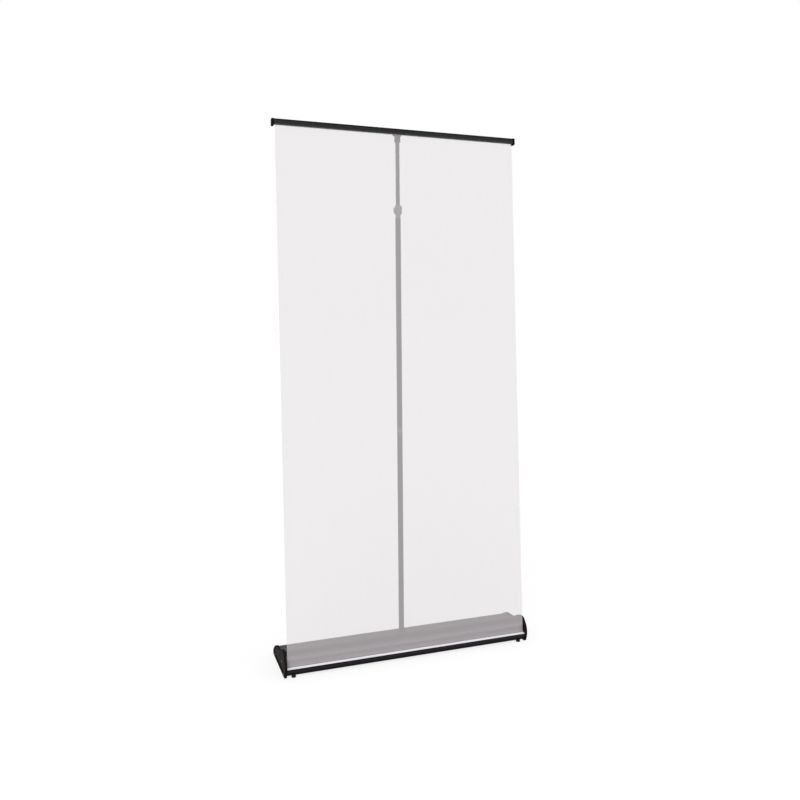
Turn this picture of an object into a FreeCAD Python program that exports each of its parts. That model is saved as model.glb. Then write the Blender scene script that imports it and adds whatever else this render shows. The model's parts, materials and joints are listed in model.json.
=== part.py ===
# Retractable banner stand: a floor cassette with a sprung roller, a leaning telescopic pole
# with a cam lock, a clamping top rail, and the banner pulled up between cassette and rail.
# Millimetres. +X runs along the cassette, +Y points to the back, +Z is up.
# The origin is on the floor, below the middle of the base.
import FreeCAD, Part
import math
import os

V = FreeCAD.Vector

# Banner
banner_width = 1000.0
banner_visible = 2054.0
banner_thickness = 0.45
banner_lean_deg = 4.1
banner_hem = 14.0
film_gap = 0.3

# Base: end caps and the extruded housing between them
base_depth = 238.0
base_height = 93.5
cap_thickness = 10.0
cap_rim_width = 5.0
housing_side_gap = 3.0
housing_inset = 3.0
housing_wall = 1.8
floor_clearance = 5.0
cap_corner_shares = [
    (0.042, 0.0), (-0.021, 0.428), (0.036, 0.727), (0.130, 1.0), (0.252, 1.0),
    (0.501, 0.681), (0.784, 0.642), (1.0, 0.211), (1.0, 0.0),
]
toe_rounding = 2.0
nose_rounding = 60.0
brow_rounding = 30.0
crown_rounding = 24.0
crest_rounding = 50.0
valley_rounding = 35.0
hump_rounding = 85.0
tail_rounding = 16.0
heel_rounding = 6.0

# Slot, the ledge in front of it and the round bead that the banner turns over
slot_setback = 17.0
slot_height = 36.4
slot_front_gap = 1.3
slot_throat = 10.0
bead_radius = 3.0
bead_rise = 1.8
wall_behind_banner = 1.3
ledge_slope_deg = 15.0
trim_thickness = 1.0
trim_margin = 1.5
lip_underside_height = 9.4
lip_underside_depth = 9.0

# Inner web and screw ports of the housing
web_setback = 93.0
port_radius = 3.6
port_hole_radius = 1.5
port_bite = 0.5
front_port_setback = 12.0
rear_port_inset = 31.0
plug_gap = 0.3
plug_wall = 2.0
plug_length = 12.0

# Screws with a hexagon head
screw_head_radius = 3.2
screw_head_height = 2.4
screw_sink = 0.6
screw_shank_gap = 0.05
cap_screw_length = 22.0
axle_screw_length = 14.0
hexagon_sides = 6

# Rubber feet
foot_radius = 8.5
foot_inset = 36.5
front_foot_setback = -4.0
rear_foot_inset = 26.0
front_foot_height = 12.0

# Roller, its fixed axles and its spring
roller_setback = 50.0
roller_height = 43.0
roller_radius = 19.0
roller_wall = 1.5
roll_thickness = 1.5
roller_plug_depth = 40.0
axle_radius = 4.0
axle_gap = 0.05
axle_seat_depth = 3.0
stub_axle_length = 48.0
mandrel_length = 195.0
mandrel_flange_radius = 12.0
mandrel_flange_thickness = 4.0
spring_inner_radius = 6.0
spring_outer_radius = 15.0
spring_end_gap = 0.3

# Pole
pole_setback = 114.6
head_reach = 27.0
pole_radius = 10.8
slim_radius = 8.0
tube_wall = 1.2
pole_foot_height = 12.0
lower_tube_length = 874.0
joint_ring_length = 21.0
joint_ring_proud = 0.25
joint_groove_width = 2.0
joint_groove_depth = 0.6
joint_spigot_length = 62.0
slim_tube_showing = 245.885
spigot_gap = 0.05
slide_gap = 0.05
upper_tube_overlap = 300.0
guide_bush_length = 100.0
guide_bush_cap = 3.0
stop_groove_depth = 0.3
stop_groove_width = 1.6
stop_groove_rise = 12.0

# Socket that carries the pole, and the plug riveted in the foot of the pole
socket_radius = 12.6
socket_gap = 0.2
socket_bore_gap = 0.15
socket_top_height = 66.5
socket_flange_low_height = 48.0
socket_flange_radius = 14.4
base_plug_length = 80.0
rivet_height = 79.0
rivet_radius = 2.4
rivet_head_height = 0.9
rivet_shank_radius = 1.4
rivet_grip = 6.0

# Lock collar and its lever
collar_neck = 9.6
collar_height = 40.5
collar_radius = 12.4
collar_shoulder_radius = 10.0
collar_shoulder = 3.5
collar_spigot_length = 120.0
pin_offset = 14.4
pin_backset = 1.3
pin_radius = 1.6
pin_gap = 0.05
ear_radius = 3.4
ear_low = 10.5
ear_height = 6.0
gusset_height = 9.0
knuckle_height = 8.0
knuckle_gap = 0.1
split_width = 1.0
lever_gap = 0.3
lever_thickness = 3.4
lever_low = 5.0
lever_height = 31.0
lever_start_deg = 193.0
lever_end_deg = 345.0
lever_slant = 11.0

# Top rail, in the plane of the banner: depth runs back from it and rise runs up along it
rail_side_gap = 4.0
rail_cap_thickness = 8.0
rail_height = 21.0
rail_body_back = 9.0
rail_wall = 1.8
rail_slit_gap = 0.325
channel_width = 6.0
flange_thickness = 1.6
flange_low = 8.0
jaw_front = 5.5
jaw_wall = 1.8
jaw_gap = 0.4
jaw_end_gap = 0.5
hinge_radius = 2.0
hinge_gap = 0.05
hinge_rise = 16.5
cradle_wall = 1.35
cradle_low_deg = -70.0
cradle_high_deg = 100.0
grip_low = 3.0
grip_height = 2.0
groove_low = 6.5
groove_pitch = 4.5
groove_width = 1.2
groove_depth = 0.5
rail_cap_drop = 4.5
rail_cap_proud = 1.0
rail_cap_rounding = 3.0
rail_cap_plug = 8.0
rail_plug_gap = 0.15

# Head that hooks the rail on the pole
head_width = 34.0
head_neck_radius = 12.0
head_drop = 31.0
head_bar_drop = 7.0
head_corner_radius = 6.0
head_gap = 0.4
head_wall = 2.0
tongue_gap = 1.0
head_screw_drop = 20.0
head_screw_radius = 2.5
head_screw_gap = 0.05
head_screw_drive_radius = 1.4
head_screw_drive_depth = 1.5

# Cuts run past the faces that they open by this much
overrun = 40.0

# Derived places
half_banner = banner_width / 2
half_housing = half_banner + housing_side_gap
half_base = half_housing + cap_thickness
half_rail = half_banner + rail_side_gap
front_y = -base_depth / 2
slot_y = front_y + slot_setback
lean = math.radians(banner_lean_deg)
banner_foot = V(0, slot_y, slot_height)
rail_point = banner_foot + V(0, math.sin(lean), math.cos(lean)) * banner_visible
pole_foot = V(0, slot_y + pole_setback, 0)
pole_top = V(0, rail_point.y + head_reach, rail_point.z)
pole_length = (pole_top - pole_foot).Length
pole_lean_deg = math.degrees(math.atan2(pole_top.y - pole_foot.y, pole_top.z))
pole_bore = pole_radius - tube_wall
joint_low = pole_foot_height + lower_tube_length
joint_high = joint_low + joint_ring_length
head_low = pole_length - head_drop
collar_high = head_low - slim_tube_showing
collar_low = collar_high - collar_height
middle_top = collar_low - collar_neck
roller_y = slot_y + roller_setback
roll_radius = roller_radius + roll_thickness
web_y = slot_y + web_setback
housing_floor = floor_clearance + housing_wall
film_offset = banner_thickness / 2 + film_gap
bead_depth = film_offset + bead_radius
channel_back = rail_body_back + channel_width
jaw_axis_depth = -jaw_front + hinge_radius
slit_back = banner_thickness / 2 + rail_slit_gap
lever_inner = collar_radius + lever_gap
lever_outer = lever_inner + lever_thickness
knuckle_low = ear_low + ear_height
port_places = [
    (slot_y + front_port_setback, housing_floor + port_radius - port_bite),
    (base_depth / 2 - rear_port_inset, housing_floor + port_radius - port_bite),
]
nodes = {}


def lean_back(shape, angle_deg, place):
    """Tip a shape back about the X axis and set its origin at a place."""
    shape.rotate(V(0, 0, 0), V(1, 0, 0), -angle_deg)
    shape.translate(place)
    return shape


def on_pole(shape):
    return lean_back(shape, pole_lean_deg, pole_foot)


def on_rail(shape):
    return lean_back(shape, banner_lean_deg, rail_point)


def on_banner(shape):
    return lean_back(shape, banner_lean_deg, banner_foot)


def rounded_wire(corners, radii):
    """Closed wire through corners, each rounded by its own radius."""
    rounded = []
    for i, corner in enumerate(corners):
        to_last = (corners[i - 1] - corner).normalize()
        to_next = (corners[(i + 1) % len(corners)] - corner).normalize()
        half_angle = to_last.getAngle(to_next) / 2
        reach = radii[i] / math.tan(half_angle)
        inward = (to_last + to_next).normalize()
        crown = corner + inward * (radii[i] / math.sin(half_angle) - radii[i])
        rounded.append((corner + to_last * reach, crown, corner + to_next * reach))
    edges = []
    for i, (start, crown, end) in enumerate(rounded):
        if radii[i] > 0:
            edges.append(Part.Arc(start, crown, end).toShape())
        following = rounded[(i + 1) % len(rounded)][0]
        edges.append(Part.LineSegment(end, following).toShape())
    return Part.Wire(edges)


def section(points):
    """Flat face across the X axis, from (depth, rise) points."""
    corners = [V(0, depth, rise) for depth, rise in points]
    return Part.Face(Part.makePolygon(corners + corners[:1]))


def along_x(face, start, end):
    """Solid made by running a face that lies across the X axis from start to end."""
    placed = face.copy()
    placed.translate(V(start, 0, 0))
    return placed.extrude(V(end - start, 0, 0))


def bar_x(radius, start, end, depth, rise):
    return Part.makeCylinder(radius, end - start, V(start, depth, rise), V(1, 0, 0))


def block(x_span, depth_span, rise_span):
    """Box between two values on each axis."""
    size = [span[1] - span[0] for span in (x_span, depth_span, rise_span)]
    return Part.makeBox(*size, V(x_span[0], depth_span[0], rise_span[0]))


def turned(profile):
    """Solid turned about the Z axis from (radius, height) points."""
    corners = [V(radius, 0, height) for radius, height in profile]
    face = Part.Face(Part.makePolygon(corners + corners[:1]))
    return face.revolve(V(0, 0, 0), V(0, 0, 1), 360)


def ring(outer, inner, low, high):
    return turned([(inner, low), (outer, low), (outer, high), (inner, high)])


def ring_sector(centre, inner, outer, start_deg, end_deg):
    """Flat face across the X axis: the part of a ring between two angles."""
    middle_deg = (start_deg + end_deg) / 2

    def at(radius, angle_deg):
        angle = math.radians(angle_deg)
        return centre + V(0, math.cos(angle), math.sin(angle)) * radius

    outside = Part.Arc(at(outer, start_deg), at(outer, middle_deg), at(outer, end_deg))
    inside = Part.Arc(at(inner, end_deg), at(inner, middle_deg), at(inner, start_deg))
    end_line = Part.LineSegment(at(outer, end_deg), at(inner, end_deg))
    start_line = Part.LineSegment(at(inner, start_deg), at(outer, start_deg))
    curves = (outside, end_line, inside, start_line)
    return Part.Face(Part.Wire([curve.toShape() for curve in curves]))


def largest_face(shape):
    return max(shape.Faces, key=lambda face: face.Area)


def hexagon(radius):
    """Flat hexagon across the X axis."""
    turns = [2 * math.pi * i / hexagon_sides for i in range(hexagon_sides)]
    return section([(radius * math.cos(turn), radius * math.sin(turn)) for turn in turns])


def mirrored(shape):
    return shape.mirror(V(0, 0, 0), V(1, 0, 0))


def joined(shapes):
    return shapes[0].fuse(shapes[1:]).removeSplitter()


# Sections of the base

def cap_outline():
    """Side outline of an end cap, which also leads the outline of the housing."""
    corners = []
    for depth_share, height_share in cap_corner_shares:
        corners.append(V(0, front_y + depth_share * base_depth, height_share * base_height))
    radii = [toe_rounding, nose_rounding, brow_rounding, crown_rounding, crest_rounding,
             valley_rounding, hump_rounding, tail_rounding, heel_rounding]
    return Part.Face(rounded_wire(corners, radii))


def ledge_rise(depth):
    """Height of the ledge in front of the slot at a depth."""
    fall = math.tan(math.radians(ledge_slope_deg))
    return slot_height - trim_thickness + (depth - slot_y + slot_front_gap) * fall


def housing_envelope():
    """Outer section of the housing, open in front of the banner and clear of the floor."""
    wall_top = base_height + overrun
    wall_low = slot_y + wall_behind_banner / math.cos(lean)
    wall_high = wall_low + (wall_top - slot_height) * math.tan(lean)
    front = front_y - overrun
    window = section([
        (front, ledge_rise(front)), (wall_low, ledge_rise(wall_low)),
        (wall_high, wall_top), (front, wall_top),
    ])
    lip_y = slot_y - lip_underside_depth
    under = section([
        (front, -overrun), (base_depth, -overrun), (base_depth, floor_clearance),
        (slot_y, floor_clearance), (lip_y, lip_underside_height),
        (front, lip_underside_height),
    ])
    outline = cap_outline().makeOffset2D(-housing_inset)
    return largest_face(outline.cut(window).cut(under))


def housing_cavities(envelope):
    """Roller chamber and rear chamber, parted by the web that carries the pole's load."""
    hollow = envelope.makeOffset2D(-housing_wall)
    web = section([
        (web_y - housing_wall / 2, -overrun), (web_y + housing_wall / 2, -overrun),
        (web_y + housing_wall / 2, base_height), (web_y - housing_wall / 2, base_height),
    ])
    chambers = [face for face in hollow.cut(web).Faces if face.Area > housing_wall ** 2]
    chambers.sort(key=lambda face: face.CenterOfMass.y)
    return chambers[0], chambers[-1]


envelope_face = housing_envelope()
roller_chamber, rear_chamber = housing_cavities(envelope_face)
envelope_solid = along_x(envelope_face, -half_housing, half_housing)
bead_centre = V(0, bead_depth, bead_rise)


def in_base(point):
    """Place of a point that is given in the plane of the banner."""
    turn = FreeCAD.Rotation(V(1, 0, 0), -banner_lean_deg)
    return turn.multVec(point) + banner_foot


def make_housing():
    ends = (-half_housing, half_housing)
    shell = envelope_solid.cut(along_x(roller_chamber, *ends))
    shell = shell.cut(along_x(rear_chamber, *ends))
    bead = in_base(bead_centre)
    throat = block(
        (-half_housing - overrun, half_housing + overrun),
        (slot_y - slot_front_gap, slot_y + slot_throat),
        (slot_height - slot_throat, bead.z),
    )
    shell = shell.cut(throat)
    additions = [bar_x(bead_radius, *ends, bead.y, bead.z)]
    for depth, rise in port_places:
        additions.append(bar_x(port_radius, *ends, depth, rise))
    shell = shell.fuse(additions)
    holes = [bar_x(port_hole_radius, *ends, depth, rise) for depth, rise in port_places]
    socket_hole = Part.makeCylinder(socket_radius + socket_gap, base_height + overrun)
    socket_hole = on_pole(socket_hole).common(block(
        ends, (web_y, base_depth), (housing_floor + housing_wall, base_height + overrun)))
    return shell.cut(holes + [socket_hole]).removeSplitter()


def make_trim():
    """Bright strip that lies on the ledge in front of the slot."""
    back = slot_y - slot_front_gap
    nose = envelope_face.BoundBox.YMin + trim_margin
    strip = section([
        (nose, ledge_rise(nose)), (back, ledge_rise(back)),
        (back, ledge_rise(back) + trim_thickness), (nose, ledge_rise(nose) + trim_thickness),
    ])
    return along_x(strip, -half_housing, half_housing)


def end_cap():
    """Left end cap: panel sunk inside an edge rim, locating rim in the rear chamber, holes."""
    panel_x = -half_base + screw_sink + screw_head_height
    panel = largest_face(cap_outline().makeOffset2D(-cap_rim_width))
    plate = along_x(cap_outline(), -half_base, -half_housing)
    plate = plate.cut(along_x(panel, -half_base, panel_x))
    rim_outer = largest_face(rear_chamber.makeOffset2D(-plug_gap))
    rim_inner = largest_face(rim_outer.makeOffset2D(-plug_wall))
    reach = -half_housing + plug_length
    rim = along_x(rim_outer, -half_housing, reach).cut(along_x(rim_inner, -half_base, reach))
    relief = port_radius + plug_gap
    rim = rim.cut([bar_x(relief, -half_base, reach, *place) for place in port_places])
    cap = plate.fuse(rim)
    openings = []
    for depth, rise in port_places + [(roller_y, roller_height)]:
        openings.append(bar_x(port_hole_radius, -half_base, -half_housing, depth, rise))
    axle_x = -half_housing - axle_seat_depth
    openings.append(bar_x(axle_radius, axle_x, -half_housing, roller_y, roller_height))
    return cap.cut(openings).removeSplitter()


def cap_screws(places, length):
    """The same screws in both end caps, with their heads on the panel, below the rim."""
    screws = []
    for depth, rise in places:
        head = along_x(hexagon(screw_head_radius), 0, screw_head_height)
        shank = bar_x(port_hole_radius - screw_shank_gap, screw_head_height, length, 0, 0)
        screw = head.fuse(shank)
        screw.translate(V(screw_sink - half_base, depth, rise))
        screws += [screw, mirrored(screw)]
    return Part.makeCompound(screws)


def foot_pair(foot_y, height):
    """Two round rubber feet whose tops are moulded to the underside of the housing."""
    place = V(half_base - foot_inset, foot_y, 0)
    foot = Part.makeCylinder(foot_radius, height, place).cut(envelope_solid)
    foot = max(foot.Solids, key=lambda solid: solid.Volume)
    return Part.makeCompound([foot, mirrored(foot)])


# Roller and spring

def roller_ring(outer, inner, start, end):
    tube = bar_x(outer, start, end, roller_y, roller_height)
    return tube.cut(bar_x(inner, start, end, roller_y, roller_height))


def make_roller_plug():
    """Left end plug of the roller, which turns on a fixed axle."""
    outer = roller_radius - roller_wall
    return roller_ring(outer, axle_radius + axle_gap, -half_banner,
                       -half_banner + roller_plug_depth)


def axle_with_screw_hole(start, end):
    """Fixed axle between two X values, drilled at its start for the axle screw."""
    rod = bar_x(axle_radius, start, end, roller_y, roller_height)
    hole = bar_x(port_hole_radius, start, start + axle_screw_length, roller_y, roller_height)
    return rod.cut(hole)


def make_mandrel():
    """Long fixed axle at the right end, with the flange that holds the spring."""
    seat = -half_housing - axle_seat_depth
    end = seat + mandrel_length
    rod = axle_with_screw_hole(seat, end)
    flange = bar_x(mandrel_flange_radius, end - mandrel_flange_thickness, end,
                   roller_y, roller_height)
    return mirrored(rod.fuse(flange).removeSplitter())


def make_spring():
    start = -half_banner + roller_plug_depth + spring_end_gap
    end = -half_housing - axle_seat_depth + mandrel_length - mandrel_flange_thickness
    return mirrored(roller_ring(spring_outer_radius, spring_inner_radius, start, end))


# Banner

def roll_centre_in_banner():
    """Centre of the roller in the plane of the banner."""
    offset = V(0, roller_y, roller_height) - banner_foot
    return FreeCAD.Rotation(V(1, 0, 0), banner_lean_deg).multVec(offset)


def make_banner_tail():
    """Hidden stretch of banner, from the roll to the slot, turned over the bead."""
    roll = roll_centre_in_banner()
    span = roll - bead_centre
    turn_radius = bead_radius + film_offset
    leave_radius = roll_radius + film_offset
    slope = math.atan2(span.z, span.y) - math.asin((leave_radius - turn_radius) / span.Length)
    along = V(0, math.cos(slope), math.sin(slope))
    down = V(0, math.sin(slope), -math.cos(slope))
    start = bead_centre + down * turn_radius
    end = roll + down * leave_radius
    half_film = down * (banner_thickness / 2)
    end_deg = 270 + math.degrees(slope)
    inner = turn_radius - banner_thickness / 2
    bend = ring_sector(bead_centre, inner, inner + banner_thickness, 180, end_deg)
    corners = [start - half_film, start + half_film, end + half_film, end - half_film]
    run = Part.Face(Part.makePolygon(corners + corners[:1]))
    length = (end - start).dot(along)
    tail = joined([along_x(face, -half_banner, half_banner) for face in (bend, run)])
    print("hidden banner from the roll to the slot:",
          round(length + turn_radius * math.radians(end_deg - 180), 1))
    return on_banner(tail)


def make_banner_sheet():
    half = banner_thickness / 2
    sheet = block((-half_banner, half_banner), (-half, half),
                  (bead_rise, banner_visible + banner_hem))
    return on_banner(sheet)


# Pole

def make_socket():
    """Cup for the pole: its flange lies on the housing and its floor on the housing's floor."""
    flange = ring(socket_flange_radius, 0, socket_flange_low_height, socket_top_height)
    flange = on_pole(flange).cut(envelope_solid)
    flange = max(flange.Solids, key=lambda solid: solid.CenterOfMass.z)
    cup = on_pole(Part.makeCylinder(socket_radius, socket_top_height))
    below = block((-overrun, overrun), (front_y, base_depth), (-overrun, housing_floor))
    bore = Part.makeCylinder(pole_radius + socket_bore_gap, socket_top_height)
    bore.translate(V(0, 0, pole_foot_height))
    return cup.cut(below).fuse(flange).cut(on_pole(bore)).removeSplitter()


def rivet_hole():
    """Cross hole for the rivet, open to the front."""
    return Part.makeCylinder(rivet_shank_radius, pole_radius, V(0, 0, rivet_height), V(0, -1, 0))


def make_base_plug():
    """Plug pressed in the foot of the pole."""
    plug = Part.makeCylinder(pole_bore - spigot_gap, base_plug_length, V(0, 0, pole_foot_height))
    return on_pole(plug.cut(rivet_hole()))


def make_rivet():
    """Rivet through the front of the lower tube into the base plug."""
    head_start = pole_radius + rivet_head_height
    head = Part.makeCylinder(rivet_radius, rivet_head_height * 2,
                             V(0, -head_start, rivet_height), V(0, 1, 0))
    tube = Part.makeCylinder(pole_radius, base_plug_length * 2)
    shank = Part.makeCylinder(rivet_shank_radius, rivet_grip,
                              V(0, -head_start, rivet_height), V(0, 1, 0))
    return on_pole(head.cut(tube).fuse(shank))


def make_lower_tube():
    tube = ring(pole_radius, pole_bore, pole_foot_height, joint_low)
    return on_pole(tube.cut(rivet_hole()))


def make_middle_tube():
    return on_pole(ring(pole_radius, pole_bore, joint_high, middle_top))


def make_joint_sleeve():
    """Connector between two tubes: a proud ring with a groove, and a plug in each tube."""
    proud = pole_radius + joint_ring_proud
    spigot = pole_bore - spigot_gap
    groove_low = joint_low + joint_groove_width
    groove_high = groove_low + joint_groove_width
    profile = [
        (0, joint_low - joint_spigot_length), (spigot, joint_low - joint_spigot_length),
        (spigot, joint_low), (proud, joint_low), (proud, groove_low),
        (proud - joint_groove_depth, groove_low), (proud - joint_groove_depth, groove_high),
        (proud, groove_high), (proud, joint_high), (spigot, joint_high),
        (spigot, joint_high + joint_spigot_length), (0, joint_high + joint_spigot_length),
    ]
    return on_pole(turned(profile))


def make_upper_tube():
    """Slim tube that slides in the middle tube, with a stop groove above the collar."""
    low = collar_low - upper_tube_overlap
    high = pole_length - head_wall
    groove_low = collar_high + stop_groove_rise
    groove_high = groove_low + stop_groove_width
    inner = slim_radius - tube_wall
    profile = [
        (inner, low), (slim_radius, low), (slim_radius, groove_low),
        (slim_radius - stop_groove_depth, groove_low),
        (slim_radius - stop_groove_depth, groove_high),
        (slim_radius, groove_high), (slim_radius, high), (inner, high),
    ]
    return on_pole(turned(profile))


def make_guide_bush():
    """Bush on the lower end of the slim tube, which runs in the middle tube."""
    low = collar_low - upper_tube_overlap
    outer = pole_bore - slide_gap
    inner = slim_radius - tube_wall
    profile = [
        (0, low - guide_bush_cap), (outer, low - guide_bush_cap), (outer, low),
        (inner, low), (inner, low + guide_bush_length), (0, low + guide_bush_length),
    ]
    return on_pole(turned(profile))


# Lock collar and lever, both made with the foot of the collar at height zero

def collar_frame(shape):
    shape.translate(V(0, 0, collar_low))
    return on_pole(shape)


def ear(low, height):
    """Lug for the lever's pin, joined to the collar."""
    lug = Part.makeCylinder(ear_radius, height, V(-pin_offset, pin_backset, low))
    bridge = block((-pin_offset, 0), (pin_backset - ear_radius, pin_backset + ear_radius),
                   (low, low + height))
    return lug.fuse(bridge)


def gusset():
    """Sloping rib below the lower ear."""
    outer = -pin_offset - ear_radius
    profile = [V(-slim_radius, 0, ear_low - gusset_height), V(-slim_radius, 0, ear_low),
               V(outer + ear_radius / 2, 0, ear_low)]
    face = Part.Face(Part.makePolygon(profile + profile[:1]))
    face.translate(V(0, pin_backset - ear_radius / 2, 0))
    return face.extrude(V(0, ear_radius, 0))


def make_collar():
    """Clamping collar: spigot, shoulders, two ears, the split and the pocket for the knuckle."""
    spigot = pole_bore - spigot_gap
    shoulder_low = collar_shoulder
    shoulder_high = collar_height - collar_shoulder
    profile = [
        (0, -collar_neck - collar_spigot_length), (spigot, -collar_neck - collar_spigot_length),
        (spigot, 0), (collar_shoulder_radius, 0), (collar_radius, shoulder_low),
        (collar_radius, shoulder_high), (collar_shoulder_radius, collar_height),
        (0, collar_height),
    ]
    upper_ear_low = knuckle_low + knuckle_height
    body = turned(profile).fuse([ear(ear_low, ear_height), ear(upper_ear_low, ear_height),
                                 gusset()])
    low = -collar_neck - collar_spigot_length
    bore = Part.makeCylinder(slim_radius + slide_gap, collar_height - low, V(0, 0, low))
    pin_hole = Part.makeCylinder(pin_radius, collar_height, V(-pin_offset, pin_backset, ear_low))
    split = block((-collar_radius - overrun, 0), (-split_width / 2, split_width / 2),
                  (knuckle_low, upper_ear_low))
    pocket = Part.makeCylinder(ear_radius + lever_gap, knuckle_height,
                               V(-pin_offset, pin_backset, knuckle_low))
    return collar_frame(body.cut([bore, pin_hole, split, pocket]).removeSplitter())


def make_lever_pin():
    height = 2 * ear_height + knuckle_height
    pin = Part.makeCylinder(pin_radius, height, V(-pin_offset, pin_backset, ear_low))
    return collar_frame(pin)


def make_lever():
    """Lever that hugs the front of the collar and turns on the pin at its left."""
    def at(radius, angle_deg):
        angle = math.radians(angle_deg)
        return V(radius * math.cos(angle), radius * math.sin(angle), lever_low)

    middle_deg = (lever_start_deg + lever_end_deg) / 2
    edges = [
        Part.Arc(at(lever_outer, lever_start_deg), at(lever_outer, middle_deg),
                 at(lever_outer, lever_end_deg)).toShape(),
        Part.LineSegment(at(lever_outer, lever_end_deg), at(lever_inner, lever_end_deg)).toShape(),
        Part.Arc(at(lever_inner, lever_end_deg), at(lever_inner, middle_deg),
                 at(lever_inner, lever_start_deg)).toShape(),
        Part.LineSegment(at(lever_inner, lever_start_deg),
                         at(lever_outer, lever_start_deg)).toShape(),
    ]
    band = Part.Face(Part.Wire(edges)).extrude(V(0, 0, lever_height))
    reach = lever_outer + lever_thickness
    top = lever_low + lever_height
    slants = []
    for root, edge, past in ((lever_low + lever_slant, lever_low, -overrun),
                             (top - lever_slant, top, top + overrun)):
        points = [V(-reach, 0, root), V(0, 0, edge), V(0, 0, past), V(-reach, 0, past)]
        wedge = Part.Face(Part.makePolygon(points + points[:1]))
        wedge.translate(V(0, -reach, 0))
        slants.append(wedge.extrude(V(0, 2 * reach, 0)))
    band = band.cut(slants)
    knuckle_start = knuckle_low + knuckle_gap
    knuckle_rise = knuckle_height - 2 * knuckle_gap
    knuckle = Part.makeCylinder(ear_radius, knuckle_rise,
                                V(-pin_offset, pin_backset, knuckle_start))
    web = block((-lever_outer, -lever_inner), (-ear_radius, pin_backset),
                (knuckle_start, knuckle_start + knuckle_rise))
    core = Part.makeCylinder(lever_inner, collar_height)
    hole = Part.makeCylinder(pin_radius + pin_gap, collar_height, V(-pin_offset, pin_backset, 0))
    lever = band.fuse([knuckle, web]).cut([core, hole])
    return collar_frame(lever.removeSplitter())


# Top rail

def make_rail_body():
    """Rear extrusion: hollow body, hood and cradle for the jaw's hinge, channel for the head."""
    axis = V(0, jaw_axis_depth, hinge_rise)
    socket = hinge_radius + hinge_gap
    cradle_outer = socket + cradle_wall
    hood_low = hinge_rise + socket
    hood_front = jaw_axis_depth + socket * math.cos(math.radians(cradle_high_deg))
    back = channel_back + flange_thickness
    body = section([(slit_back, 0), (rail_body_back, 0), (rail_body_back, rail_height),
                    (slit_back, rail_height)])
    hood = section([(hood_front, hood_low), (back, hood_low), (back, rail_height),
                    (hood_front, rail_height)])
    flange = section([(channel_back, flange_low), (back, flange_low), (back, rail_height),
                      (channel_back, rail_height)])
    cradle = ring_sector(axis, socket, cradle_outer, cradle_low_deg, cradle_high_deg)
    hollow = section([(slit_back + rail_wall, rail_wall),
                      (rail_body_back - rail_wall, rail_wall),
                      (rail_body_back - rail_wall, hood_low),
                      (slit_back + rail_wall, hood_low)])
    ends = (-half_rail, half_rail)
    solid = joined([along_x(face, *ends) for face in (body, hood, flange, cradle)])
    socket_bar = bar_x(socket, *ends, axis.y, axis.z)
    return on_rail(solid.cut([along_x(hollow, *ends), socket_bar]).removeSplitter())


def make_rail_jaw():
    """Front jaw: hinge bead, face plate with two grooves, and the rib that grips the hem."""
    face_back = -jaw_front + jaw_wall
    plate = section([(-jaw_front, jaw_gap), (face_back, jaw_gap), (face_back, hinge_rise),
                     (-jaw_front, hinge_rise)])
    rib_tip = -banner_thickness / 2 - rail_slit_gap
    rib = section([(face_back, grip_low), (rib_tip, grip_low),
                   (rib_tip, grip_low + grip_height), (face_back, grip_low + grip_height)])
    ends = (jaw_end_gap - half_rail, half_rail - jaw_end_gap)
    bead = bar_x(hinge_radius, *ends, jaw_axis_depth, hinge_rise)
    jaw = joined([along_x(plate, *ends), along_x(rib, *ends), bead])
    grooves = []
    for low in (groove_low, groove_low + groove_pitch):
        groove = section([(-jaw_front, low), (groove_depth - jaw_front, low + groove_width / 2),
                          (-jaw_front, low + groove_width)])
        grooves.append(along_x(groove, *ends))
    return on_rail(jaw.cut(grooves).removeSplitter())


def rail_cap():
    """Left end cap of the rail, with the plug that holds it in the hollow body."""
    back = channel_back + flange_thickness + rail_cap_proud
    front = -jaw_front - rail_cap_proud
    corners = [V(0, front, -rail_cap_drop), V(0, back, -rail_cap_drop),
               V(0, back, rail_height + rail_cap_proud),
               V(0, front, rail_height + rail_cap_proud)]
    outline = Part.Face(rounded_wire(corners, [rail_cap_rounding] * len(corners)))
    plate = along_x(outline, -half_rail - rail_cap_thickness, -half_rail)
    margin = rail_wall + rail_plug_gap
    hood_low = hinge_rise + hinge_radius + hinge_gap
    plug = block((-half_rail, -half_rail + rail_cap_plug),
                 (slit_back + margin, rail_body_back - margin), (margin, hood_low - rail_plug_gap))
    return plate.fuse(plug).removeSplitter()


def make_head():
    """Moulded head: neck over the tube, cross bar, and the tongue in the rail's channel."""
    bar_back = head_reach + head_neck_radius
    bar_front = rail_body_back + head_gap
    bar_top = flange_low - head_gap
    half = head_width / 2
    bar = block((-half, half), (bar_front, bar_back), (-head_bar_drop, bar_top))
    boxes = [(edge, edge.BoundBox) for edge in bar.Edges]
    upright = [edge for edge, box in boxes
               if box.ZLength > box.XLength + box.YLength and box.YMin > head_reach]
    bar = bar.makeFillet(head_corner_radius, upright)
    tongue_back = channel_back - tongue_gap
    roof = hinge_rise + hinge_radius + hinge_gap
    tongue = block((-half, half), (bar_front, tongue_back), (bar_top, roof))
    hook = on_rail(bar.fuse(tongue))
    neck = Part.makeCylinder(head_neck_radius, head_drop, V(0, 0, head_low))
    bore = Part.makeCylinder(slim_radius, head_drop - head_wall, V(0, 0, head_low))
    height = pole_length - head_screw_drop
    screw_hole = Part.makeCylinder(head_screw_radius + head_screw_gap, head_neck_radius,
                                   V(0, slim_radius / 2, height), V(0, 1, 0))
    head = on_pole(neck).fuse(hook)
    return head.cut([on_pole(bore), on_pole(screw_hole)]).removeSplitter()


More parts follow.
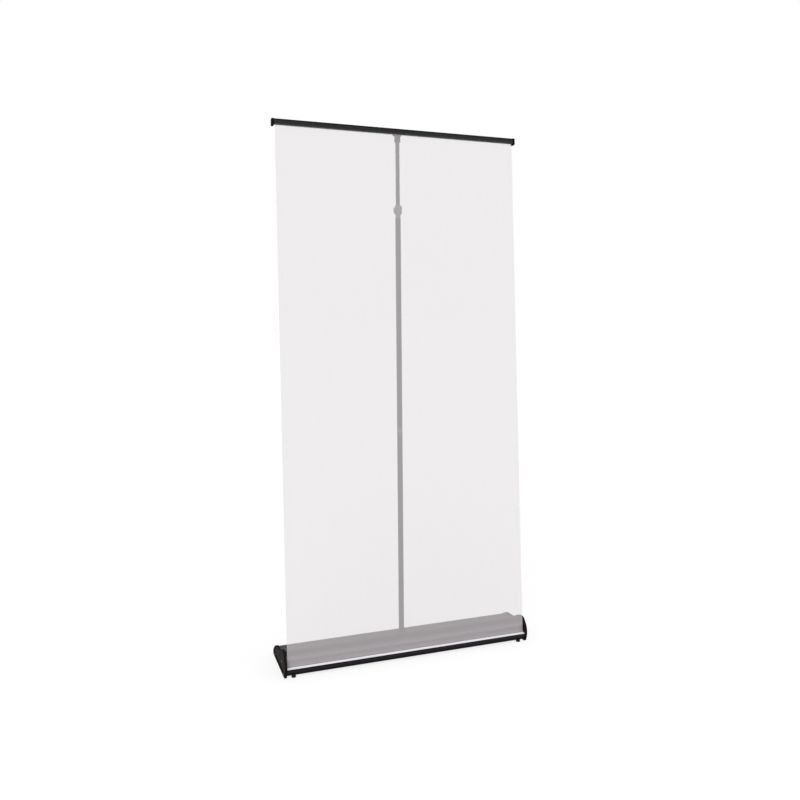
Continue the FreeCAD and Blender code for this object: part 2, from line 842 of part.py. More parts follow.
def make_head_screw():
    """Headless screw through the back of the neck that presses on the slim tube."""
    start = slim_radius + head_screw_gap
    screw = bar_x(head_screw_radius, start, head_neck_radius, 0, 0)
    drive = along_x(hexagon(head_screw_drive_radius), head_neck_radius - head_screw_drive_depth,
                    head_neck_radius)
    screw = screw.cut(drive)
    screw.rotate(V(0, 0, 0), V(0, 0, 1), 90)
    screw.translate(V(0, 0, pole_length - head_screw_drop))
    return on_pole(screw)


left_cap = end_cap()
left_roller_plug = make_roller_plug()
left_rail_cap = rail_cap()

nodes["cassette_housing"] = make_housing()
nodes["left_end_cap"] = left_cap
nodes["right_end_cap"] = mirrored(left_cap)
nodes["end_cap_screws"] = cap_screws(port_places, cap_screw_length)
nodes["axle_screws"] = cap_screws([(roller_y, roller_height)], axle_screw_length)
nodes["slot_trim_strip"] = make_trim()
nodes["front_feet"] = foot_pair(slot_y + front_foot_setback, front_foot_height)
nodes["rear_feet"] = foot_pair(base_depth / 2 - rear_foot_inset, floor_clearance)
nodes["roller_stub_axle"] = axle_with_screw_hole(
    -half_housing - axle_seat_depth, -half_housing - axle_seat_depth + stub_axle_length)
nodes["spring_mandrel"] = make_mandrel()
nodes["recoil_spring"] = make_spring()
nodes["roller_tube"] = roller_ring(
    roller_radius, roller_radius - roller_wall, -half_banner, half_banner)
nodes["left_roller_plug"] = left_roller_plug
nodes["right_roller_plug"] = mirrored(left_roller_plug)
nodes["banner_roll"] = roller_ring(roll_radius, roller_radius, -half_banner, half_banner)
nodes["banner_tail"] = make_banner_tail()
nodes["banner_sheet"] = make_banner_sheet()
nodes["pole_socket"] = make_socket()
nodes["pole_base_plug"] = make_base_plug()
nodes["base_plug_rivet"] = make_rivet()
nodes["pole_lower_tube"] = make_lower_tube()
nodes["pole_joint_sleeve"] = make_joint_sleeve()
nodes["pole_middle_tube"] = make_middle_tube()
nodes["lock_collar"] = make_collar()
nodes["lever_pin"] = make_lever_pin()
nodes["lock_lever"] = make_lever()
nodes["pole_upper_tube"] = make_upper_tube()
nodes["guide_bush"] = make_guide_bush()
nodes["rail_hook_head"] = make_head()
nodes["head_screw"] = make_head_screw()
nodes["rail_body"] = make_rail_body()
nodes["rail_jaw"] = make_rail_jaw()
nodes["left_rail_cap"] = on_rail(left_rail_cap.copy())
nodes["right_rail_cap"] = on_rail(mirrored(left_rail_cap))

os.makedirs("parts", exist_ok=True)
for name, shape in nodes.items():
    shape.exportStep("parts/" + name + ".step")
    print(name, "solids", len(shape.Solids), "valid", shape.isValid(),
          "volume", round(shape.Volume, 1))
print("pole lean", round(pole_lean_deg, 3), "overall height",
      round(max(shape.BoundBox.ZMax for shape in nodes.values()), 1))
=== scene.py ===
# Looks of the retractable banner stand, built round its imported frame. Metres.
# +X runs along the cassette, +Y points to the back, +Z is up.
import json
import math

import bmesh
import bpy
from mathutils import Matrix, Vector


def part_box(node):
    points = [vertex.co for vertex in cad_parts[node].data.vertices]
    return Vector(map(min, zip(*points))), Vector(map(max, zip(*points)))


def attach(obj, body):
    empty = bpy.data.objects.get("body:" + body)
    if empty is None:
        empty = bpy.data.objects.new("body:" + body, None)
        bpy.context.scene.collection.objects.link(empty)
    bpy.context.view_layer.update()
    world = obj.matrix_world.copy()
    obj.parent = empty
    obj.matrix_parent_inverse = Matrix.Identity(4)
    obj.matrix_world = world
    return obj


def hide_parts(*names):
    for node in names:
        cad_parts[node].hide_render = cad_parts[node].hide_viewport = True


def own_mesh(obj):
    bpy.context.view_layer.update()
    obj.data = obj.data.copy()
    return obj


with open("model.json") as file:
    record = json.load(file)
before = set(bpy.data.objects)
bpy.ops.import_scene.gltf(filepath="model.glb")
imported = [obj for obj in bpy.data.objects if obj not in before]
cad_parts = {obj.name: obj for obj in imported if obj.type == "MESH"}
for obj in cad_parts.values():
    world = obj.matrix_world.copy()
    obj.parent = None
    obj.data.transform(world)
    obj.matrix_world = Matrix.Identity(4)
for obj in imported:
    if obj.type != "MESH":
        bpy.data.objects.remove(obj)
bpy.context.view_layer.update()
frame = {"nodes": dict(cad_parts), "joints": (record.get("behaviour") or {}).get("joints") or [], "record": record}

# Camera, at the photo's viewing angle, with a small shift that puts its axis at the principal row
image_size_px = 800
principal_row_px = 366
sensor_width_mm = 36.0
focal_px = 770.98
camera_place = Vector((-1.04957, -2.90691, 1.37569))
camera_yaw = math.radians(19.6274)
camera_pitch = math.radians(3.9532)
camera_roll = math.radians(0.0636)

# Light: a white room, two wide soft suns, and a narrower one for the gloss on round pieces,
# with the directions that their light comes from
sky_strength = 0.72
backdrop_strength = 1.0
key_from = Vector((-2.2, -3.4, 2.6))
key_strength = 1.25
key_width = math.radians(50)
fill_from = Vector((3.0, -2.2, 1.2))
fill_strength = 0.43
fill_width = math.radians(70)
glint_from = Vector((-0.40, -0.92, 0.24))
glint_strength = 0.55
glint_width = math.radians(20)

# Floor: it lights the object with its own colour, and shows the camera a glow with the object's
# shadow in it
floor_half_size = 60.0
floor_colour = (0.45, 0.45, 0.45, 1)
floor_shadow_colour = (0.24, 0.24, 0.24, 1)
floor_glow = 0.765

# Banner: its film, the rounded bead under the slot that the film turns over, and the gap between
# the film and what it turns over
film_thickness = 0.00045
film_gap = 0.0003
bead_radius = 0.003
film_columns = 40
film_rows = 80
bend_steps = 24
run_steps = 8
roll_columns = 8
roll_turns = 3
roll_steps_per_turn = 64

# Rail head: a neck round the pole's upper tube, and a plate and a tongue behind the rail. Depths
# run back from the banner, and heights up along it from the rail's lower edge. The neck starts
# higher than the CAD head, by the foot's rise.
rail_body_back = 0.009
head_neck_radius = 0.012
head_end_wall = 0.0055
head_chamfer = 0.0006
head_foot_rise = 0.0055
head_front = 0.0094
head_plate_low = 0.0035
head_plate_back = 0.0395
head_plate_top = 0.0090
head_tongue_back = 0.014
head_tongue_top = 0.01855
head_corner = 0.004
head_overlap = 0.002
corner_steps = 6
turn_steps = 64
head_screw_gap = 0.00005

# Finishes: the ground's colour and the colours of its lighter bands and worn edges, the gloss,
# the scale, stretch and depth of the grain, the scale of the bands and the radius of soft edges
even = (1, 1, 1)
along_x = (0.008, 1, 1)
along_z = (1, 1, 0.01)
finishes = {
    "extrusion_black": dict(
        colour=(0.0040, 0.0040, 0.0045), band_colour=(0.032, 0.0315, 0.034),
        worn_colour=(0.024, 0.024, 0.024), roughness=0.42, metallic=0.0, specular=0.06,
        grain_scale=900.0, grain_stretch=along_x, grain_depth=0.000015, band_scale=85.0,
        edge_radius=0.0006),
    "rail_black": dict(
        colour=(0.0025, 0.0025, 0.0030), band_colour=(0.009, 0.009, 0.010),
        worn_colour=(0.008, 0.008, 0.009), roughness=0.42, metallic=0.0, specular=0.06,
        grain_scale=900.0, grain_stretch=along_x, grain_depth=0.000015, band_scale=75.0,
        edge_radius=0.0004),
    "jaw_black": dict(
        colour=(0.0165, 0.0170, 0.0182), band_colour=(0.024, 0.025, 0.027),
        worn_colour=(0.020, 0.019, 0.019), roughness=0.40, metallic=0.0, specular=0.12,
        grain_scale=900.0, grain_stretch=along_x, grain_depth=0.000015, band_scale=110.0,
        edge_radius=0.0004),
    "tube_black": dict(
        colour=(0.045, 0.045, 0.046), band_colour=(0.062, 0.062, 0.063),
        worn_colour=(0.050, 0.050, 0.051), roughness=0.36, metallic=0.0, specular=0.20,
        grain_scale=900.0, grain_stretch=along_z, grain_depth=0.00001, band_scale=40.0,
        edge_radius=0.0004),
    "moulded_black": dict(
        colour=(0.0074, 0.0058, 0.0052), band_colour=(0.0110, 0.0088, 0.0080),
        worn_colour=(0.024, 0.020, 0.019), roughness=0.46, metallic=0.0, specular=0.006,
        grain_scale=1100.0, grain_stretch=even, grain_depth=0.00003, band_scale=60.0,
        edge_radius=0.0008),
    "lever_grey": dict(
        colour=(0.170, 0.170, 0.172), band_colour=(0.205, 0.205, 0.207),
        worn_colour=(0.24, 0.24, 0.24), roughness=0.42, metallic=0.0, specular=0.20,
        grain_scale=1100.0, grain_stretch=even, grain_depth=0.00002, band_scale=40.0,
        edge_radius=0.0005),
    "moulded_grey": dict(
        colour=(0.185, 0.185, 0.188), band_colour=(0.225, 0.225, 0.228),
        worn_colour=(0.27, 0.27, 0.27), roughness=0.45, metallic=0.0, specular=0.30,
        grain_scale=1100.0, grain_stretch=even, grain_depth=0.00002, band_scale=40.0,
        edge_radius=0.0005),
    "dull_steel": dict(
        colour=(0.095, 0.096, 0.105), band_colour=(0.130, 0.131, 0.142),
        worn_colour=(0.24, 0.24, 0.25), roughness=0.32, metallic=0.8, specular=0.5,
        grain_scale=2500.0, grain_stretch=even, grain_depth=0.00001, band_scale=60.0,
        edge_radius=0.0003),
    "bare_steel": dict(
        colour=(0.44, 0.44, 0.45), band_colour=(0.56, 0.56, 0.57),
        worn_colour=(0.70, 0.70, 0.70), roughness=0.30, metallic=1.0, specular=0.5,
        grain_scale=1800.0, grain_stretch=even, grain_depth=0.000005, band_scale=60.0,
        edge_radius=0.0003),
    "mill_aluminium": dict(
        colour=(0.56, 0.57, 0.58), band_colour=(0.68, 0.69, 0.70),
        worn_colour=(0.75, 0.75, 0.75), roughness=0.38, metallic=1.0, specular=0.5,
        grain_scale=900.0, grain_stretch=along_x, grain_depth=0.00001, band_scale=60.0,
        edge_radius=0.0004),
    "foot_rubber": dict(
        colour=(0.009, 0.009, 0.009), band_colour=(0.014, 0.014, 0.014),
        worn_colour=(0.025, 0.025, 0.025), roughness=0.80, metallic=0.0, specular=0.1,
        grain_scale=700.0, grain_stretch=even, grain_depth=0.00005, band_scale=60.0,
        edge_radius=0.0006),
    "pale_trim": dict(
        colour=(0.78, 0.75, 0.80), band_colour=(0.84, 0.82, 0.87),
        worn_colour=(0.86, 0.84, 0.89), roughness=0.40, metallic=0.0, specular=0.3,
        grain_scale=900.0, grain_stretch=along_x, grain_depth=0.000008, band_scale=40.0,
        edge_radius=0.0003),
}

# Shared by the finishes: how far gloss varies, the noise values that bands and grain are drawn
# from, the detail of the noise, the cosines at which an edge starts to look worn and at which it
# is wholly worn, and the samples that round an edge
roughness_spread = 0.06
band_range = (0.43, 0.57)
grain_range = (0.30, 0.70)
grain_detail = 3.0
worn_range = (0.995, 0.8)
edge_samples = 4

# Painted shade: heights from which a finish starts to darken and at which it is darkest, for
# edges that turn away from the light: above the housing's foot, and from the jaw's top
housing_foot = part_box("cassette_housing")[0].z
jaw_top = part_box("rail_jaw")[1].z
lip_shade_range = (0.033, 0.010)
jaw_shade_range = (-0.005, -0.0035)
painted_shade_colour = (0.004, 0.004, 0.005)
painted_shade_of_finish = {
    "extrusion_black": [housing_foot + height for height in lip_shade_range],
    "jaw_black": [jaw_top + height for height in jaw_shade_range],
}

# Painted highlight bands on the housing, in place of its sheen: the finish that has them, their
# colour, the heights above the floor that they span, and their share at steps from the lower to
# the upper
painted_highlight_finish = "extrusion_black"
painted_highlight_colour = (0.170, 0.168, 0.177)
painted_highlight_range = (0.036, 0.092)
painted_highlight_shares = ((0.00, 0.00), (0.07, 0.60), (0.18, 0.15), (0.30, 0.00), (0.41, 0.10),
                (0.54, 1.00), (0.67, 0.70), (0.80, 0.10), (0.91, 0.00), (1.00, 0.00))

# Film: colours and gloss of its milky body, how much of it hides what is behind, and the scale,
# stretch and detail of its fibres and of its uneven gloss
film_colours = ((0.620, 0.586, 0.603), (0.628, 0.594, 0.611))
film_roughness = (0.52, 0.60)
film_specular = 0.1
film_alpha = 0.478
fibre_scale = 60.0
fibre_stretch = (1, 1, 0.2)
fibre_detail = 4.0
film_gloss_scale = 300.0
film_gloss_detail = 2.0

# Finish of each slot in the record, and of the nodes that differ from their slot
finish_of_slot = {
    "black_anodised": "extrusion_black",
    "black_plastic": "moulded_black",
    "grey_plastic": "moulded_grey",
    "black_steel": "dull_steel",
    "bare_steel": "bare_steel",
    "mill_aluminium": "mill_aluminium",
    "pale_trim": "pale_trim",
    "foot_rubber": "foot_rubber",
}
finish_of_node = {
    # Rail body: a darker copy of the housing's black, painted shade for the line above the jaw
    "rail_body": "rail_black",
    "rail_jaw": "jaw_black",
    "lock_lever": "lever_grey",
    "pole_lower_tube": "tube_black",
    "pole_middle_tube": "tube_black",
    "pole_upper_tube": "tube_black",
}


# Shader building

def new_material(name):
    """Material with nothing but a Principled shader on its output."""
    material = bpy.data.materials.new(name)
    material.use_nodes = True
    nodes = material.node_tree.nodes
    nodes.clear()
    output = nodes.new("ShaderNodeOutputMaterial")
    shader = nodes.new("ShaderNodeBsdfPrincipled")
    material.node_tree.links.new(shader.outputs["BSDF"], output.inputs["Surface"])
    return material, shader


def noise(material, scale, stretch=even, detail=grain_detail):
    """Noise in the object's own space, drawn out along the axes with a small stretch."""
    nodes, links = material.node_tree.nodes, material.node_tree.links
    space = nodes.new("ShaderNodeTexCoord")
    mapping = nodes.new("ShaderNodeMapping")
    mapping.inputs["Scale"].default_value = stretch
    texture = nodes.new("ShaderNodeTexNoise")
    texture.inputs["Scale"].default_value = scale
    texture.inputs["Detail"].default_value = detail
    links.new(space.outputs["Object"], mapping.inputs["Vector"])
    links.new(mapping.outputs["Vector"], texture.inputs["Vector"])
    return texture.outputs["Fac"]


def spread(material, value, low=0.0, high=1.0, source=grain_range):
    """Maps the values of a source range to the range from low to high."""
    node = material.node_tree.nodes.new("ShaderNodeMapRange")
    node.inputs["From Min"].default_value = source[0]
    node.inputs["From Max"].default_value = source[1]
    node.inputs["To Min"].default_value = low
    node.inputs["To Max"].default_value = high
    material.node_tree.links.new(value, node.inputs["Value"])
    return node.outputs["Result"]


def blend_colours(material, share, first, second):
    """Mix of two colours, of which the first may be another node's output."""
    node = material.node_tree.nodes.new("ShaderNodeMix")
    node.data_type = "RGBA"
    if isinstance(first, tuple):
        node.inputs["A"].default_value = (*first, 1)
    else:
        material.node_tree.links.new(first, node.inputs["A"])
    node.inputs["B"].default_value = (*second, 1)
    material.node_tree.links.new(share, node.inputs["Factor"])
    return node.outputs["Result"]


def height_share(material, heights):
    """Share from 0 to 1 as the height in the object's own space goes from one to the other."""
    nodes, links = material.node_tree.nodes, material.node_tree.links
    place = nodes.new("ShaderNodeTexCoord")
    parts = nodes.new("ShaderNodeSeparateXYZ")
    links.new(place.outputs["Object"], parts.inputs["Vector"])
    return spread(material, parts.outputs["Z"], source=heights)


def painted_highlight_share(material):
    """Share of the housing's painted highlight bands at a height, from 0 to 1."""
    ramp = material.node_tree.nodes.new("ShaderNodeValToRGB")
    stops = ramp.color_ramp.elements
    for step, _ in painted_highlight_shares[1:-1]:
        stops.new(step)
    for stop, (step, share) in zip(stops, painted_highlight_shares):
        stop.position = step
        stop.color = (share, share, share, 1)
    material.node_tree.links.new(height_share(material, painted_highlight_range), ramp.inputs["Fac"])
    return ramp.outputs["Color"]


def soft_edges(material, radius):
    """Normals that round the edges over a radius."""
    node = material.node_tree.nodes.new("ShaderNodeBevel")
    node.samples = edge_samples
    node.inputs["Radius"].default_value = radius
    return node.outputs["Normal"]


def worn_edges(material, rounded):
    """Share from 0 on flat faces to 1 on edges, from how far the rounded normals turn."""
    nodes, links = material.node_tree.nodes, material.node_tree.links
    geometry = nodes.new("ShaderNodeNewGeometry")
    dot = nodes.new("ShaderNodeVectorMath")
    dot.operation = "DOT_PRODUCT"
    links.new(geometry.outputs["Normal"], dot.inputs[0])
    links.new(rounded, dot.inputs[1])
    return spread(material, dot.outputs["Value"], source=worn_range)


def bumped(material, height, distance, normal):
    """Normals with a fine relief on them, as deep as the distance."""
    node = material.node_tree.nodes.new("ShaderNodeBump")
    node.inputs["Strength"].default_value = 1.0
    node.inputs["Distance"].default_value = distance
    material.node_tree.links.new(height, node.inputs["Height"])
    material.node_tree.links.new(normal, node.inputs["Normal"])
    return node.outputs["Normal"]


def rigid_material(name, colour, band_colour, worn_colour, roughness, metallic, specular,
                   grain_scale, grain_stretch, grain_depth, band_scale, edge_radius):
    """Hard surface: bands in colour, grain in gloss and relief, worn edges, painted highlight and shade."""
    material, shader = new_material(name)
    links = material.node_tree.links
    grain = noise(material, grain_scale, grain_stretch)
    bands = noise(material, band_scale, grain_stretch)
    rounded = soft_edges(material, edge_radius)
    base = blend_colours(material, spread(material, bands, source=band_range), colour, band_colour)
    # Painted highlight: lighter bands across the housing at the heights where light catches it
    if name == painted_highlight_finish:
        base = blend_colours(material, painted_highlight_share(material), base, painted_highlight_colour)
    # Painted shade: darker over the lip's lower part and along the jaw's top edge
    if name in painted_shade_of_finish:
        shade = height_share(material, painted_shade_of_finish[name])
        base = blend_colours(material, shade, base, painted_shade_colour)
    worn = blend_colours(material, worn_edges(material, rounded), base, worn_colour)
    links.new(worn, shader.inputs["Base Color"])
    gloss = spread(material, grain, roughness - roughness_spread, roughness + roughness_spread)
    links.new(gloss, shader.inputs["Roughness"])
    links.new(bumped(material, grain, grain_depth, rounded), shader.inputs["Normal"])
    shader.inputs["Metallic"].default_value = metallic
    shader.inputs["Specular IOR Level"].default_value = specular
    return material


def film_material():
    """Clear film with a faint milky body, the same from both sides."""
    material, shader = new_material("clear_film")
    links = material.node_tree.links
    fibres = noise(material, fibre_scale, fibre_stretch, fibre_detail)
    body = blend_colours(material, spread(material, fibres), *film_colours)
    links.new(body, shader.inputs["Base Color"])
    gloss = noise(material, film_gloss_scale, even, film_gloss_detail)
    links.new(spread(material, gloss, *film_roughness), shader.inputs["Roughness"])
    shader.inputs["Specular IOR Level"].default_value = film_specular
    shader.inputs["Alpha"].default_value = film_alpha
    return material


materials = {name: rigid_material(name, **finish) for name, finish in finishes.items()}
clear_film = film_material()


def dress_nodes():
    """Gives every CAD node its own finish, or else the finish of its slot."""
    for subpart in frame["record"]["subparts"]:
        name, slot = subpart["node"], subpart["material_slot"]
        finish = clear_film
        if slot in finish_of_slot:
            finish = materials[finish_of_node.get(name, finish_of_slot[slot])]
        node = frame["nodes"][name]
        node.data.materials.clear()
        node.data.materials.append(finish)


dress_nodes()


# Banner, in the middle plane of its CAD solids

quarter_turn = math.pi / 2


def row_at(place, columns):
    """Evenly spaced points along X, from edge to edge of the banner, at one depth and height."""
    step = (sheet_high.x - sheet_low.x) / columns
    return [Vector((sheet_low.x + step * i, place.y, place.z)) for i in range(columns + 1)]


def film_piece(name, places, columns):
    """Open sheet of film that passes through places from one end to the other."""
    points = [point for place in places for point in row_at(place, columns)]
    faces = []
    for i in range(len(places) - 1):
        for j in range(columns):
            corner = i * (columns + 1) + j
            faces.append((corner, corner + 1, corner + columns + 2, corner + columns + 1))
    mesh = bpy.data.meshes.new(name)
    mesh.from_pydata(points, [], faces)
    mesh.polygons.foreach_set("use_smooth", [True] * len(faces))
    mesh.materials.append(clear_film)
    piece = bpy.data.objects.new(name, mesh)
    bpy.context.scene.collection.objects.link(piece)
    return piece


def around(centre, radius, angle):
    """Point at a radius and angle about a line along X, from the back and up over the top."""
    return centre + Vector((0, math.cos(angle), math.sin(angle))) * radius


sheet_low, sheet_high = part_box("banner_sheet")
lean = math.atan2(sheet_high.y - sheet_low.y - film_thickness, sheet_high.z - sheet_low.z)
banner_back = Vector((0, math.cos(lean), -math.sin(lean)))
banner_rise = Vector((0, math.sin(lean), math.cos(lean)))
from_box_corner = Vector((0, math.cos(lean), math.sin(lean))) * film_thickness / 2
film_bottom = Vector((0, sheet_low.y, sheet_low.z)) + from_box_corner
film_top = Vector((0, sheet_high.y, sheet_high.z)) - from_box_corner
roll_low, roll_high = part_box("banner_roll")
core_low, core_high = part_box("roller_tube")
roll_centre = Vector((0, (roll_low.y + roll_high.y) / 2, (roll_low.z + roll_high.z) / 2))
roll_radius = (roll_high.z - roll_low.z) / 2
core_radius = (core_high.z - core_low.z) / 2
turn_radius = bead_radius + film_gap + film_thickness / 2
leave_radius = roll_radius + film_gap + film_thickness / 2
bead_centre = film_bottom + banner_back * turn_radius

# The straight run touches the bead and the roll on their undersides
span = roll_centre - bead_centre
run_slope = math.atan2(span.z, span.y) - math.asin((leave_radius - turn_radius) / span.length)
leave_angle = run_slope + math.pi + quarter_turn

slide = next(joint for joint in frame["joints"] if joint["name"] == "pole_telescope")
slide_axis = Vector(slide["axis"])


def make_film():
    """Visible sheet, straight from its lower edge to its top."""
    places = [film_bottom.lerp(film_top, i / film_rows) for i in range(film_rows + 1)]
    film = film_piece("banner_film", places, film_columns)
    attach(film, "base")
    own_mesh(film)
    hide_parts("banner_sheet")
    return film


def make_film_tail():
    """Hidden stretch: round the bead under the slot, then straight to the roll's underside."""
    start_angle = math.pi - lean
    step = (leave_angle - start_angle) / bend_steps
    places = [around(bead_centre, turn_radius, start_angle + step * i)
              for i in range(bend_steps + 1)]
    last, end = places[-1], around(roll_centre, leave_radius, leave_angle)
    places += [last.lerp(end, i / run_steps) for i in range(1, run_steps + 1)]
    tail = film_piece("film_tail", places, roll_columns)
    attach(tail, "base")
    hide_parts("banner_tail")
    return tail


def make_film_roll():
    """The rest of the film, wound on the roller's tube in an even spiral."""
    steps = roll_turns * roll_steps_per_turn
    inner = core_radius + film_thickness / 2
    outer = roll_radius - film_thickness / 2
    places = [around(roll_centre, outer + (inner - outer) * i / steps,
                     leave_angle + math.tau * i / roll_steps_per_turn)
              for i in range(steps + 1)]
    roll = film_piece("film_roll", places, roll_columns)
    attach(roll, "roller")
    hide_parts("banner_roll")
    return roll


banner_film = make_film()
film_tail = make_film_tail()
film_roll = make_film_roll()


# Rail head

tube_low, tube_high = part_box("pole_upper_tube")
tube_radius = (tube_high.x - tube_low.x) / 2
tube_box_corner = Vector((0, tube_high.y, tube_high.z))
tube_top = tube_box_corner - Vector((0, slide_axis.z, slide_axis.y)) * tube_radius
across_slide = slide_axis.cross(Vector((1, 0, 0)))
head_low, head_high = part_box("rail_hook_head")
rail_foot_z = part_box("rail_body")[0].z + rail_body_back * math.sin(lean)
rail_foot = film_bottom + banner_rise * ((rail_foot_z - film_bottom.z) / banner_rise.z)


def closed_mesh(name, points, faces):
    """Object of a closed form, with its normals set outward."""
    mesh = bpy.data.meshes.new(name)
    mesh.from_pydata(points, [], faces)
    work = bmesh.new()
    work.from_mesh(mesh)
    bmesh.ops.recalc_face_normals(work, faces=work.faces)
    work.to_mesh(mesh)
    work.free()
    piece = bpy.data.objects.new(name, mesh)
    bpy.context.scene.collection.objects.link(piece)
    return piece


def ring_faces(rings, steps):
    """Quads that join rings of points, each with the same number of steps."""
    return [(ring * steps + i, ring * steps + (i + 1) % steps,
             (ring + 1) * steps + (i + 1) % steps, (ring + 1) * steps + i)
            for ring in range(rings - 1) for i in range(steps)]


def turned(name, start, axis, across, profile):
    """Solid of revolution about an axis through start, from (radius, height) points."""
    side = axis.cross(across)
    points = []
    for radius, height in profile:
        for i in range(turn_steps):
            angle = math.tau * i / turn_steps
            spoke = across * math.cos(angle) + side * math.sin(angle)
            points.append(start + axis * height + spoke * radius)
    faces = ring_faces(len(profile), turn_steps)
    last = (len(profile) - 1) * turn_steps
    faces.append(tuple(range(turn_steps)))
    faces.append(tuple(range(last, last + turn_steps)))
    return closed_mesh(name, points, faces)


def slab(name, half_width, back, low, high, corner):
    """Block behind the rail, with its two upright back edges rounded."""
    outline = [(-half_width, head_front)]
    for centre_x, start in ((-half_width + corner, math.pi), (half_width - corner, quarter_turn)):
        for i in range(corner_steps + 1):
            angle = start - quarter_turn * i / corner_steps
            outline.append((centre_x + corner * math.cos(angle),
                            back - corner + corner * math.sin(angle)))
    outline.append((half_width, head_front))
    count = len(outline)
    points = [rail_foot + Vector((x, 0, 0)) + banner_back * depth + banner_rise * height
              for height in (low, high) for x, depth in outline]
    faces = ring_faces(2, count) + [tuple(range(count)), tuple(range(count, 2 * count))]
    return closed_mesh(name, points, faces)


def make_head():
    """Neck with the plate and the tongue joined on, and with the hole of its screw."""
    start_z = head_low.z + head_foot_rise + head_neck_radius * slide_axis.y
    start = tube_top + slide_axis * ((start_z - tube_top.z) / slide_axis.z)
    bore_depth = (tube_top - start).length
    top = bore_depth + head_end_wall
    outer = head_neck_radius
    head = turned("rail_head", start, slide_axis, across_slide,
                  [(tube_radius, bore_depth), (tube_radius, 0), (outer - head_chamfer, 0),
                   (outer, head_chamfer), (outer, top - head_chamfer),
                   (outer - head_chamfer, top)])
    half_width = head_high.x
    plate = slab("plate", half_width, head_plate_back, head_plate_low, head_plate_top,
                 head_corner)
    tongue = slab("tongue", half_width, head_tongue_back, head_plate_top - head_overlap,
                  head_tongue_top, head_chamfer)
    screw_low, screw_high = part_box("head_screw")
    screw_middle = (screw_low + screw_high) / 2
    hole_radius = (screw_high.x - screw_low.x) / 2 + head_screw_gap
    hole_reach = head_neck_radius / 2
    hole = turned("hole", screw_middle, across_slide, slide_axis,
                  [(hole_radius, -hole_reach), (hole_radius, hole_reach)])
    for tool, operation in ((plate, "UNION"), (tongue, "UNION"), (hole, "DIFFERENCE")):
        modifier = head.modifiers.new(operation, "BOOLEAN")
        modifier.operation = operation
        modifier.solver = "EXACT"
        modifier.object = tool
    bpy.context.view_layer.update()
    evaluated = bpy.context.evaluated_depsgraph_get()
    shape = bpy.data.meshes.new_from_object(head.evaluated_get(evaluated))
    head.modifiers.clear()
    head.data = shape
    for tool in (plate, tongue, hole):
        bpy.data.objects.remove(tool)
    shape.materials.clear()
    shape.materials.append(materials["moulded_black"])
    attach(head, "mast_top")
    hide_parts("rail_hook_head")


make_head()


# Stage and light

def seen_directly(nodes, links):
    """1 for rays from the camera, and for what gloss and clear pieces show."""
    path = nodes.new("ShaderNodeLightPath")
    seen = path.outputs["Is Camera Ray"]
    for kind in ("Is Glossy Ray", "Is Transmission Ray"):
        either = nodes.new("ShaderNodeMath")
        either.operation = "MAXIMUM"
        links.new(seen, either.inputs[0])
        links.new(path.outputs[kind], either.inputs[1])
        seen = either.outputs["Value"]
    return seen


def floor_material():
    """Ground that looks white, with a soft shadow, and lights the object as a grey one would."""
    material = bpy.data.materials.new("floor")
    material.use_nodes = True
    nodes, links = material.node_tree.nodes, material.node_tree.links
    nodes.clear()
    output = nodes.new("ShaderNodeOutputMaterial")
    lit = nodes.new("ShaderNodeBsdfDiffuse")
    lit.inputs["Color"].default_value = floor_colour
    shaded = nodes.new("ShaderNodeBsdfDiffuse")
    shaded.inputs["Color"].default_value = floor_shadow_colour
    glow = nodes.new("ShaderNodeEmission")
    glow.inputs["Strength"].default_value = floor_glow
    both = nodes.new("ShaderNodeAddShader")
    links.new(shaded.outputs["BSDF"], both.inputs[0])
    links.new(glow.outputs["Emission"], both.inputs[1])
    mix = nodes.new("ShaderNodeMixShader")
    links.new(seen_directly(nodes, links), mix.inputs["Fac"])
    links.new(lit.outputs["BSDF"], mix.inputs[1])
    links.new(both.outputs["Shader"], mix.inputs[2])
    links.new(mix.outputs["Shader"], output.inputs["Surface"])
    return material


def make_floor():
    """Large pale floor under the stand."""
    mesh = bpy.data.meshes.new("floor")
    half = floor_half_size
    corners = [(-half, -half, 0), (half, -half, 0), (half, half, 0), (-half, half, 0)]
    mesh.from_pydata(corners, [], [(0, 1, 2, 3)])
    mesh.materials.append(floor_material())
    floor = bpy.data.objects.new("floor", mesh)
    bpy.context.scene.collection.objects.link(floor)


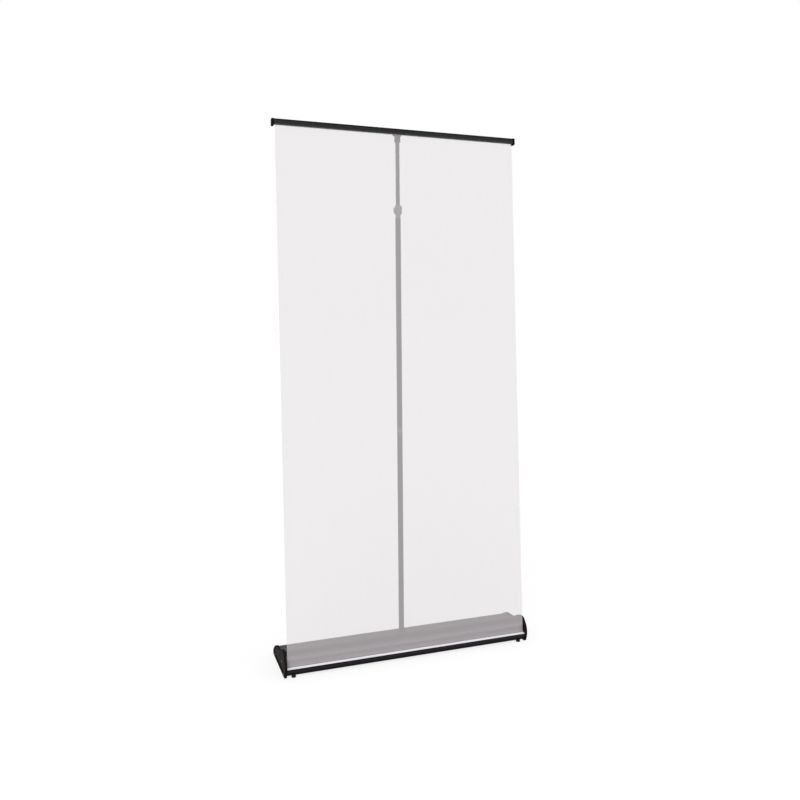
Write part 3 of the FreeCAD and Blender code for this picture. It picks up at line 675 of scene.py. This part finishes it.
def make_sky():
    """White background to look at, which gives the object a lower level of light."""
    world = bpy.data.worlds.new("studio")
    bpy.context.scene.world = world
    world.use_nodes = True
    nodes, links = world.node_tree.nodes, world.node_tree.links
    nodes.clear()
    output = nodes.new("ShaderNodeOutputWorld")
    light = nodes.new("ShaderNodeBackground")
    light.inputs["Strength"].default_value = sky_strength
    backdrop = nodes.new("ShaderNodeBackground")
    backdrop.inputs["Strength"].default_value = backdrop_strength
    for background in (light, backdrop):
        background.inputs["Color"].default_value = (1, 1, 1, 1)
    mix = nodes.new("ShaderNodeMixShader")
    links.new(seen_directly(nodes, links), mix.inputs["Fac"])
    links.new(light.outputs["Background"], mix.inputs[1])
    links.new(backdrop.outputs["Background"], mix.inputs[2])
    links.new(mix.outputs["Shader"], output.inputs["Surface"])


def make_sun(name, light_from, strength, width):
    """Even light from one side, soft as from a wide panel."""
    data = bpy.data.lights.new(name, "SUN")
    data.energy = strength
    data.angle = width
    lamp = bpy.data.objects.new(name, data)
    bpy.context.scene.collection.objects.link(lamp)
    lamp.rotation_euler = (-light_from).to_track_quat("-Z", "Y").to_euler()


def make_camera():
    """Camera at the photo's place, turned by its yaw, then its pitch and then its roll."""
    data = bpy.data.cameras.new("camera")
    data.sensor_width = sensor_width_mm
    data.lens = focal_px / image_size_px * sensor_width_mm
    data.shift_y = (principal_row_px - image_size_px / 2) / image_size_px
    camera = bpy.data.objects.new("camera", data)
    bpy.context.scene.collection.objects.link(camera)
    forward = Vector((math.sin(camera_yaw) * math.cos(camera_pitch),
                      math.cos(camera_yaw) * math.cos(camera_pitch), -math.sin(camera_pitch)))
    level = Vector((math.cos(camera_yaw), -math.sin(camera_yaw), 0))
    upright = level.cross(forward)
    right = level * math.cos(camera_roll) + upright * math.sin(camera_roll)
    up = right.cross(forward)
    axes = Matrix((right, up, -forward)).transposed().to_4x4()
    camera.matrix_world = Matrix.Translation(camera_place) @ axes
    bpy.context.scene.camera = camera


make_floor()
make_sky()
make_sun("key", key_from, key_strength, key_width)
make_sun("fill", fill_from, fill_strength, fill_width)
make_sun("glint", glint_from, glint_strength, glint_width)
make_camera()
bpy.context.scene.view_settings.view_transform = "Standard"
